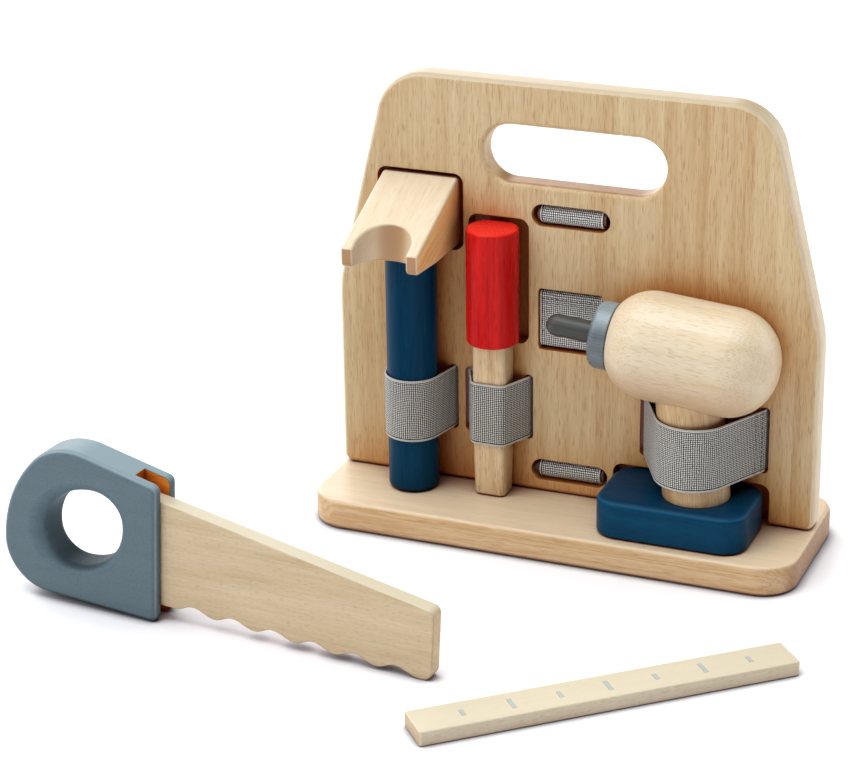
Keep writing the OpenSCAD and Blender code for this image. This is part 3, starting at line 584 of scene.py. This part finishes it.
# %% Drill
# navy dye, rubbed thin along the foot's upper edge: a lighter blue line there, partly wear and partly a painted
# highlight; painted shade from the barrel darkens its top
foot = eased("drill_foot", "drill", 0.4, dyed(
    "navy_dyed_maple_foot", X, "054261", "02324f", "02192b", seed=2.0, rough=0.35, shine_level=0.06,
    wear="2f6f92", slab=Z, sides=(Z, "022c47", 0.6)))
lean = math.radians(5)
barrel_axis = (math.cos(lean), 0, -math.sin(lean))
handle_axis = (-math.sin(lean), 0, math.cos(lean))
under = (0, -0.45, -0.89)
# clear lacquer on maple: cream above, with painted warm shade on the underside, for the light that the stand throws
# up
dress("drill_barrel", maple("lacquered_maple_barrel", barrel_axis, seed=4.0, end="f2e8da", pores=0.32,
                            long=0.2, sides=(under, "a5763c", 0.5)))
# sealed rubberwood, turned: straw, with fine dark dashes that run down it all round
dress("drill_handle", rubberwood("sealed_rubberwood_drill_handle", handle_axis, seed=5.0))
# slate paint, glossier than dye, with a painted pale highlight on top of the ring
dress("drill_chuck", dyed(
    "slate_painted_maple_ring", barrel_axis, "667278", "566268", "414c54", seed=6.0, rough=0.28,
    shine_level=0.6, sides=(Z, "93a5ae", 0.7)))
# charcoal dye: a soft long glint on a nearly black round bar, and painted shade on its underside
dress("drill_bit", dyed(
    "charcoal_dyed_maple_bit", barrel_axis, "464945", "363935", "1a1a18", seed=7.0, rough=0.4,
    shine_level=0.4, sides=(-Z, "161614", 0.9)))

# %% [markdown]
# ## Saw
# A slate-grey handle with an oval hole for the fingers, and a wooden blade in its slot. The slot was
# sawn after the handle was dyed, so its walls are bare wood. They could be a separate piece, but
# they are the same block, so they are a second finish on the faces that lie inside the slot.

# %% Saw handle
saw_turn = math.radians(-4.7)
saw_axis = Vector((math.cos(saw_turn), math.sin(saw_turn), 0))
saw_side = Vector((-math.sin(saw_turn), math.cos(saw_turn), 0))
up_right = (0.64, 0, 0.77)
slate = ("61737b", "5a6c74", "3f4c53")
# the slate pieces take a cold dark grey as painted shade in their recesses
slate_figure = {"seed": 8.0, "pores": 0.3, "long": 0.7, "layer": 0.05, "recess": "34383e"}
# slate dye: matt grey-blue with hardly any figure, rubbed pale along its edges, and a painted sheen that makes its
# top lighter
saw_handle = eased("saw_handle", "saw", 0.4, dyed(
    "slate_dyed_maple_handle", saw_axis, *slate, **slate_figure, shine_level=0.14, wear="a6b6bd",
    slab=saw_side, sides=(up_right, "8499a2", 0.9)))
GLUE = 0.09 * mm                             # the walls lie this close to the blade
blade_points = [v.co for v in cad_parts["saw_blade"].data.vertices]
blade_sides = [p.dot(saw_side) for p in blade_points]
heel_end = min(p.dot(saw_axis) for p in blade_points)


def slot_wall(face):
    """True for the walls of the slot that the blade is glued into."""
    between = min(blade_sides) - GLUE < face.center.dot(saw_side) < max(blade_sides) + GLUE
    wall = abs(face.normal.dot(saw_side)) > 0.9 or face.normal.dot(saw_axis) > 0.9
    return between and wall and face.center.dot(saw_axis) > heel_end - 0.3 * mm


# bare sawn rubberwood, with a painted orange glow for the light that the narrow slot throws on itself
second(saw_handle, wood("bare_rubberwood_slot_painted_glow", saw_axis, "f2a040", "dd8428", "9a5018", seed=12.0,
                        recess="c07c34", shine_level=0.1), slot_wall)

# %% [markdown]
# ## The hole for the fingers
# No hand has rubbed the wall of the hole pale, and its finish is duller than the rest; painted shade on the
# wall's faces that look up makes it darker. The hole is also rounded by hand: a little wider than it was cut, and
# wider still at the side where the fingers enter, most of all towards the palm. Moving the wall's own points does
# that.

# %% The hole for the fingers
HOLE_REACH = 34 * mm                         # the hole lies within this distance of the handle's middle
HOLE_HALF = 18 * mm
WIDER, PALM_WIDER = 1.6, 3.0                 # mm at the hole's two ends, and more at the palm's
FACE_ON = 0.985
hole_low, hole_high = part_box("saw_handle")
hole_middle = (hole_low + hole_high) / 2


def hole_wall(face):
    """True for the wall and the rim of the hole."""
    across = face.center - hole_middle
    across -= saw_side * across.dot(saw_side)
    edge_on = abs(face.normal.dot(saw_side)) < FACE_ON
    return edge_on and across.length < HOLE_REACH and face.normal.dot(across) < 0


# slate dye, matt, with painted shade on the wall's faces that look up, so the hole reads as deep
second(saw_handle, dyed("slate_dyed_maple_hole", saw_axis, *slate, **slate_figure, rough=0.5,
                        shine_level=0.04, sides=(Z, "2c373e", 0.85)), hole_wall)
half_thick = max(abs((v.co - hole_middle).dot(saw_side)) for v in saw_handle.data.vertices)
hole_finish = len(saw_handle.data.materials) - 1
of_hole = {k for face in saw_handle.data.polygons if face.material_index == hole_finish for k in face.vertices}
for k in sorted(of_hole):
    point = saw_handle.data.vertices[k].co
    across = point - hole_middle
    along, entry = across.dot(saw_axis) / HOLE_HALF, max(0.0, -across.dot(saw_side) / half_thick)
    out = WIDER * along + (PALM_WIDER * entry ** 2 * along if along < 0 else 0)
    point += saw_axis * out * mm
print("saw_handle: %d points of the hole's wall sanded wider" % len(of_hole))

# %% [markdown]
# ## Blade
# The blade is a thin board of pale rubberwood with blunt, wavy teeth. Its edges are sanded rounder
# than the stand's, because a child holds the saw there too.

# %% Blade
# sealed pale rubberwood: dull straw on its face, and a painted sheen, a greyer cream, along its back
blade = eased("saw_blade", "saw", 0.8, wood(
    "sealed_pale_rubberwood_blade", saw_axis, "cfbd9c", "bba27a", "94704a", seed=9.0, end="fff2dc",
    pores=0.25, layer=0.12, long=0.3, sides=(Z, "ccc4ac", 0.9)), steps=3)

# %% [markdown]
# ## Ruler
# A thin lath with seven marks. The marks are solids of their own in the model, flush with the
# wood, so they need no printing here: a finish is enough.

# %% Ruler
ruler_turn = math.radians(41.4)
ruler_axis = (math.cos(ruler_turn), math.sin(ruler_turn), 0)
# sealed pale rubberwood with fine lines along it, and a painted sheen, a greyer cream, on top
ruler = eased("ruler_body", "ruler", 0.2, wood(
    "sealed_pale_rubberwood_ruler", ruler_axis, "dbd0b8", "cdbd9d", "a38055", seed=10.0, end="d8c4a4",
    pores=0.25, layer=0.12, long=0.3, sides=(Z, "cfc7b0", 0.75)))
# thin slate ink: pale grey, with the fibre just showing through
dress("ruler_marks", dyed("slate_printed_marks", ruler_axis, "b6bcb8", "a6ada9", "929a98", seed=11.0))

# %% [markdown]
# ## Elastic: the strip
# Each band is woven elastic, 34 mm wide. Between two lighter, thicker cords at its edges, its face is a
# fine grid of threads a millimetre apart. A flat plane would have no edge to catch the light, so it is
# modelled as a strip with a section that follows its path round the tool and through the board.
# Its own two directions are kept as a UV map in millimetres, so that the weave follows every bend.

# %% Elastic: the strip
# the section from one edge to the middle: mm in from the edge, and mm up from the strip's middle plane
CORD_SECTION = ((0, 0.0), (0.15, 0.34), (0.7, 0.54), (1.2, 0.42), (1.45, 0.34), (5, 0.5))
FACE_UP = 0.5                                # mm from the strip's middle plane to its face


def strip_section(width):
    """The section's points round the strip: mm across and mm up."""
    half = width / 2
    over = [(half - inwards, up) for inwards, up in CORD_SECTION] + [(0, FACE_UP)]
    over += [(-across, up) for across, up in over[-2::-1]]
    return over + [(across, -up) for across, up in over[-2:0:-1]]


print("elastic: a section of %d points" % len(strip_section(34)))

# %% [markdown]
# A seam is a row of stitches across the strip. Each stitch is a ball of twenty faces, drawn out
# into a grain of rice: it stands proud and catches the light, which a painted dash would not.

# %% Elastic: a seam
STITCH_APART = 2.6                           # mm from one stitch to the next
STITCH = (1.05, 0.34, 0.26)                  # half a stitch: mm across the strip, along it and up


def stitch_row(bm, path, side, width, seam):
    """A row of stitches across both faces of the strip, at the point of its path nearest to a seam."""
    k = min(range(len(path) - 1), key=lambda n: (path[n] - seam).length)
    along = (path[k + 1] - path[k]).normalized()
    out = along.cross(side)
    shape = Matrix([d * size * mm for d, size in zip((side, along, out), STITCH)]).transposed().to_4x4()
    for n in range(int(width / STITCH_APART)):
        for up in (-FACE_UP, FACE_UP):
            middle = path[k] + side * ((n + 0.5) * STITCH_APART - width / 2) * mm + out * up * mm
            knots = bmesh.ops.create_icosphere(bm, subdivisions=1, radius=1,
                                               matrix=Matrix.Translation(middle) @ shape)
            for face in {f for v in knots["verts"] for f in v.link_faces}:
                face.material_index = 1


# %% [markdown]
# The strip sets the section up at each point of its path, square to the way the path goes, and joins
# neighbouring sections with faces. The UV map takes its first number from the distance walked, and
# its second from the place across the strip.

# %% Elastic: the whole strip
def woven_strip(name, path, side, width, closed, seams=()):
    """A strip of elastic along a path of points, with a cord at each edge, and a UV map in millimetres."""
    section = strip_section(width)
    bm = bmesh.new()
    uv = bm.loops.layers.uv.new("weave_mm")
    rows, along, walked = [], [], 0.0
    count = len(path)
    for k, point in enumerate(path):
        before = path[k - 1] if closed or k else point
        after = path[(k + 1) % count] if closed or k < count - 1 else point
        out = (after - before).normalized().cross(side)
        rows.append([bm.verts.new(point + side * (a * mm) + out * (s * mm)) for a, s in section])
        along.append(walked / mm)
        walked += (path[(k + 1) % count] - point).length
    for k in range(count if closed else count - 1):
        here, there = rows[k], rows[(k + 1) % count]
        start, end = along[k], along[k + 1] if k + 1 < count else walked / mm
        for j in range(len(section)):
            n = (j + 1) % len(section)
            face = bm.faces.new((here[j], there[j], there[n], here[n]))
            for loop, u, a in zip(face.loops, (start, end, end, start), (j, j, n, n)):
                loop[uv].uv = (u, section[a][0])
    if not closed:
        for row in (rows[0], rows[-1]):
            bm.faces.new(row)
    bmesh.ops.recalc_face_normals(bm, faces=bm.faces)
    for seam in seams:
        stitch_row(bm, path, side, width, seam)
    mesh = bpy.data.meshes.new(name)
    bm.to_mesh(mesh)
    bm.free()
    mesh.polygons.foreach_set("use_smooth", [True] * len(mesh.polygons))
    piece = bpy.data.objects.new(name, mesh)
    bpy.context.scene.collection.objects.link(piece)
    print("%s: %.0f mm of elastic" % (name, walked / mm))
    return piece


# %% [markdown]
# A path is easiest to write down as a few straight runs and turns. The weave wants rows at an even
# distance, so one function walks along the line and sets a point at every step.

# %% Even steps
def even(points, step, closed):
    """Points an even step apart along a line of points, in millimetres on the way in, metres on the way out."""
    ends = points + points[:1] if closed else points
    lengths = [(Vector(b) - Vector(a)).length for a, b in zip(ends, ends[1:])]
    total = sum(lengths)
    count = max(2, round(total / step))
    made, k, left = [], 0, 0.0
    for n in range(count if closed else count + 1):
        want = total * n / count
        while k < len(lengths) - 1 and want > left + lengths[k]:
            left += lengths[k]
            k += 1
        a, b = Vector(ends[k]), Vector(ends[k + 1])
        made.append(a.lerp(b, min(1, (want - left) / lengths[k])) * mm)
    return made


# %% [markdown]
# ## Elastic: the weave
# Polyester yarn is woven over rubber threads. Each crossing is a small pale hump, with painted shade in the
# gap around it, darkest where two gaps cross, and no thread runs quite straight. The cords at
# the edges are plain and lighter, with painted shade in the groove inside each. Matt yarn with a faint sheen.

# %% Elastic: the weave
HALF_ROW, HALF_COLUMN = 0.5, 0.55            # mm: half the distance between threads, each way
WANDER = 0.6                                 # mm that a thread strays, over a few centimetres
CORD_FROM, CORD_TO, CORD_LINE = 15.6, 15.8, 15.55        # mm from the strip's middle


def elastic_cloth(name, dim, bright, edging):
    """Woven elastic. Dim and bright are the yarn's two tones, edging the colour of its two cords."""
    made, tree = material(name)
    spot = add(tree, "ShaderNodeUVMap", {"uv_map": "weave_mm"})
    way = add(tree, "ShaderNodeSeparateXYZ", {}, {0: spot.outputs[0]})
    stray = add(tree, "ShaderNodeTexNoise", {}, {"Vector": spot.outputs[0], "Scale": 0.35, "Detail": 1})
    wander = add(tree, "ShaderNodeVectorMath", {"operation": "MULTIPLY_ADD"}, {
        0: stray.outputs["Color"], 1: (WANDER, WANDER, 0), 2: spot.outputs[0]})
    wandered = add(tree, "ShaderNodeSeparateXYZ", {}, {0: wander.outputs[0]})
    gap = {}
    for axis, half in (("Y", HALF_ROW), ("X", HALF_COLUMN)):
        thread_spot = add(tree, "ShaderNodeMath", {"operation": "PINGPONG"}, {0: wandered.outputs[axis], 1: half})
        gap[axis] = add(tree, "ShaderNodeMapRange", SOFT_STEP, {
            "Value": thread_spot.outputs[0], "From Min": 0.05, "From Max": 0.38, "To Min": 1, "To Max": 0})
    either = add(tree, "ShaderNodeMath", {"operation": "MAXIMUM"}, {0: gap["Y"].outputs[0], 1: gap["X"].outputs[0]})
    both = add(tree, "ShaderNodeMath", {"operation": "MULTIPLY"}, {0: gap["Y"].outputs[0], 1: gap["X"].outputs[0]})
    # painted shade in the gaps between the threads, darkest where two gaps cross
    dark = add(tree, "ShaderNodeMath", {"operation": "MULTIPLY_ADD"}, {
        0: either.outputs[0], 1: 0.92, 2: both.outputs[0]})
    from_middle = add(tree, "ShaderNodeMath", {"operation": "ABSOLUTE"}, {0: way.outputs["Y"]})
    cord = add(tree, "ShaderNodeMapRange", {}, {
        "Value": from_middle.outputs[0], "From Min": CORD_FROM, "From Max": CORD_TO, "To Max": 0.75})
    field = add(tree, "ShaderNodeMath", {"operation": "SUBTRACT"}, {0: 1.0, 1: cord.outputs[0]})
    dark = add(tree, "ShaderNodeMath", {"operation": "MULTIPLY"}, {0: dark.outputs[0], 1: field.outputs[0]})
    # painted shade in the groove inside each cord
    line_spot = add(tree, "ShaderNodeMath", {"operation": "COMPARE"}, {
        0: from_middle.outputs[0], 1: CORD_LINE, 2: 0.2})
    dark = add(tree, "ShaderNodeMath", {"operation": "MAXIMUM"}, {0: dark.outputs[0], 1: line_spot.outputs[0]})
    slub = add(tree, "ShaderNodeTexNoise", {}, {"Vector": spot.outputs[0], "Scale": 0.9, "Detail": 3})
    yarn = add(tree, "ShaderNodeMix", COLOURS, {AMOUNT: slub.outputs[0], UNDER: srgb(dim), OVER: srgb(bright)})
    edge_yarn = add(tree, "ShaderNodeMix", COLOURS, {
        AMOUNT: cord.outputs[0], UNDER: yarn.outputs[MIXED], OVER: srgb(edging)})
    tint = add(tree, "ShaderNodeMix", COLOURS, {
        AMOUNT: dark.outputs[0], UNDER: edge_yarn.outputs[MIXED], OVER: srgb("141411")})
    depth = add(tree, "ShaderNodeMath", {"operation": "MULTIPLY"}, {0: dark.outputs[0], 1: -1.0})
    relief = add(tree, "ShaderNodeBump", {}, {
        "Height": depth.outputs[0], "Strength": 0.6, "Distance": 0.25 * mm})
    cloth = add(tree, "ShaderNodeBsdfPrincipled", {}, {
        "Base Color": tint.outputs[MIXED], "Roughness": 0.85, "Normal": relief.outputs[0],
        "Sheen Weight": 0.15, "Sheen Roughness": 0.5})
    add(tree, "ShaderNodeOutputMaterial", {}, {"Surface": cloth.outputs[0]})
    return made


# grey yarn: pale humps with a fine grid of painted shade between them, which reads as mid grey from further off
elastic = elastic_cloth("woven_grey_elastic", "d3d3cc", "faf9f2", "c3c2bc")
# paler yarn for the strap: painted light, for the strap sits in the shade of its panel
brightened_elastic = elastic_cloth("woven_pale_grey_elastic", "fcfcf6", "ffffff", "e6e5df")
print("elastic: threads %.1f x %.1f mm apart" % (2 * HALF_COLUMN, 2 * HALF_ROW))

# %% [markdown]
# ## Thread
# The seams are sewn with polyester thread of two plies, darker than the elastic. Its twist is too
# fine to see, so a noise of about two thirds of a millimetre stands in for it: a soft, broken line.

# %% Thread
TWISTS_PER_M = 1500
thread, tree = material("grey_polyester_thread")
spot = add(tree, "ShaderNodeTexCoord")
ply = add(tree, "ShaderNodeTexNoise", {}, {
    "Vector": spot.outputs["Object"], "Scale": TWISTS_PER_M, "Detail": 2})
tint = add(tree, "ShaderNodeMix", COLOURS, {
    AMOUNT: ply.outputs[0], UNDER: srgb("4a4a46"), OVER: srgb("73726c")})
twist = add(tree, "ShaderNodeBump", {}, {"Height": ply.outputs[0], "Strength": 0.4, "Distance": 0.1 * mm})
yarn_skin = add(tree, "ShaderNodeBsdfPrincipled", {}, {
    "Base Color": tint.outputs[MIXED], "Roughness": 0.6, "Normal": twist.outputs[0]})
add(tree, "ShaderNodeOutputMaterial", {}, {"Surface": yarn_skin.outputs[0]})
print("thread: stitches %.1f mm apart" % STITCH_APART)

# %% [markdown]
# ## Bands
# A band that is stretched round a tool takes the shortest way: straight from its slot to the tool,
# and then round it. That is the convex hull of the tool's section and the two slots, seen from above.

# %% Bands
THICK = 1.2                                  # mm of elastic
HALF_THICK = THICK / 2
CLEAR = 0.9                                  # mm from a tool to the middle of its band
IN_FRONT = -0.01                             # mm: a point behind this is in the board's face or deeper


def band(node, section, gap, seams=()):
    """The band of a tool: its section's points and its slots, all in millimetres from above."""
    low, high = (Vector(v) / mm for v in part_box(node))
    middle, z = (low.x + high.x) / 2, (low.z + high.z) / 2
    left_slot, right_slot = (middle - gap / 2, 0.0), (middle + gap / 2, 0.0)
    points = section + [left_slot, right_slot]
    hull = [points[k] for k in geometry.convex_hull_2d([Vector(p) for p in points])]
    # the run starts at the right slot, goes round the tool and back behind the board. A section that
    # reaches into the board adds its rearmost points last: a flat fold in the board's face, hidden
    # behind the tool and the band. Leaving those points out of the hull would take the fold away
    start = hull.index(right_slot)
    run = hull[start:] + hull[:start]
    if run[1][1] > IN_FRONT:
        run = run[:1] + run[:0:-1]
    rear = high.y - HALF_THICK
    line = run + [(left_slot[0], rear), (right_slot[0], rear)]
    path = even([(x, y, z) for x, y in line], THICK, True)
    in_front = [point for point in path[:len(path) // 2] if point.y < 0]
    rows = [min(in_front, key=lambda point: abs((point - path[0]).length - d * mm)) for d in seams]
    piece = woven_strip(node + "_woven", path, Z, high.z - low.z, True, rows)
    piece.data.materials.append(elastic)
    piece.data.materials.append(thread)
    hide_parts(node)
    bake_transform(piece)
    return piece


def disc(x, y, r, count=48):
    """Points of a circle."""
    turns = [math.tau * k / count for k in range(count)]
    return [(x + r * math.cos(a), y + r * math.sin(a)) for a in turns]


def middle_of(node):
    """The middle of a node's box, in millimetres."""
    low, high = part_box(node)
    return (low + high) / 2 / mm


# %% [markdown]
# The hammer's handle and the drill's are round, and the screwdriver's shaft is square with round
# corners. The band of the drill is sewn to itself in front, beside the slot.

# %% The three bands
HAMMER_GAP, DRIVER_GAP, DRILL_GAP = 35.1, 32.7, 63       # mm between the two slots of each band
HANDLE_R = 13.3
SHAFT_CORNER, SHAFT_CORNER_R = (5.8, 5.0), 3.2           # mm: a corner's middle from the shaft's, and its radius
DRILL_Y = -18.8
at = middle_of("hammer_handle")
band("hammer_band", disc(at.x, at.y, HANDLE_R + CLEAR), HAMMER_GAP)
at = middle_of("screwdriver_shaft")
corners = [point for sx in (-1, 1) for sy in (-1, 1) for point in disc(
    at.x + sx * SHAFT_CORNER[0], at.y + sy * SHAFT_CORNER[1], SHAFT_CORNER_R + CLEAR, 24)]
band("screwdriver_band", corners, DRIVER_GAP)
low, high = (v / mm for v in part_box("drill_band"))
drill_disc = disc((low.x + high.x) / 2, DRILL_Y, DRILL_Y - low.y - HALF_THICK)
band("drill_band", drill_disc, DRILL_GAP, seams=(3, 7))

# %% [markdown]
# ## Strap
# The strap behind the board ends in a loop round a dowel at the top and at the bottom, and
# comes forward once, in the sunk panel. It could be five pieces, but it is one strip along one path,
# seen from the side: round the lower dowel, up, forward, up the panel, back, up and round the other.

# %% Strap
TOGGLE_R, GLUE_GAP, SUNK = 3.9, 0.05, 1.7                # mm: the dowels, the glue, the strap in its panel
BASE_THICK, PANEL_UP, PANEL_TALL, PANEL_SLOT = 16, 96.5, 33, 3.4
BEND = 2.2                                               # mm: the radius of the strap's turns in the panel
SEAMS_DOWN = (3.4, 6.6)                                  # mm below the panel's top


def strap():
    """The rear strap along its path."""
    low, high = (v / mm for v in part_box("rear_strap"))
    x = (low.x + high.x) / 2
    upper, lower = middle_of("upper_toggle"), middle_of("lower_toggle")
    back_y = high.y - HALF_THICK
    r = TOGGLE_R + GLUE_GAP + HALF_THICK
    half, middle = (PANEL_TALL - PANEL_SLOT) / 2, BASE_THICK + PANEL_UP
    around = [math.tau * k / 36 for k in range(2, 35)]
    quarter = [math.pi * k / 12 for k in range(7)]
    turn = [(SUNK + BEND * (1 - math.sin(a)), half - BEND * (1 - math.cos(a))) for a in quarter]
    line = [(lower.y + r * math.cos(a), lower.z - r * math.sin(a)) for a in around[::-1]]
    line += [(back_y, lower.z), (back_y, middle - half)] + [(y, middle - up) for y, up in turn]
    line += [(y, middle + up) for y, up in turn[::-1]] + [(back_y, middle + half), (back_y, upper.z)]
    line += [(upper.y + r * math.cos(a), upper.z + r * math.sin(a)) for a in around]
    path = even([(x, y, z) for y, z in line], THICK, False)
    seams = [Vector((x, SUNK, middle + half - down)) * mm for down in SEAMS_DOWN]
    return woven_strip("rear_strap_woven", path, X, high.x - low.x, False, seams)


rear = strap()
rear.data.materials.append(brightened_elastic)
rear.data.materials.append(thread)
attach(rear, "stand")
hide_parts("rear_strap")

# %% [markdown]
# ## Floor finish
# Plain white paper under the set, with the faint mottle that paper has, every 15 mm or so. Next to a
# piece a painted narrow cool shadow marks where the piece stands, darker where less of the tent reaches.

# %% Floor finish
MOTTLE_PER_M = 60
SHADOW_REACH = 7 * mm
paper, tree = material("white_paper")
spot = add(tree, "ShaderNodeTexCoord")
mottle = add(tree, "ShaderNodeTexNoise", {}, {
    "Vector": spot.outputs["Object"], "Scale": MOTTLE_PER_M, "Detail": 2})
white = add(tree, "ShaderNodeMix", COLOURS, {
    AMOUNT: mottle.outputs[0], UNDER: srgb("f5f5f9"), OVER: srgb("f8f8fc")})
open_sky = add(tree, "ShaderNodeAmbientOcclusion", {"samples": 8}, {"Distance": SHADOW_REACH})
closed = add(tree, "ShaderNodeMapRange", SOFT_STEP, {
    "Value": open_sky.outputs["AO"], "From Min": 0.35, "From Max": 0.95, "To Min": 0.65, "To Max": 0})
shaded = add(tree, "ShaderNodeMix", COLOURS, {
    AMOUNT: closed.outputs[0], UNDER: white.outputs[MIXED], OVER: srgb("565b66")})
sheet = add(tree, "ShaderNodeBsdfPrincipled", {}, {"Base Color": shaded.outputs[MIXED], "Roughness": 0.9})
add(tree, "ShaderNodeOutputMaterial", {}, {"Surface": sheet.outputs[0]})
floor.data.materials.append(paper)
print("floor finish: %s" % paper.name)

# %% Sizes and the end
low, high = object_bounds()
print("visual box: %.1f x %.1f x %.1f mm" % tuple((high - low) / mm))
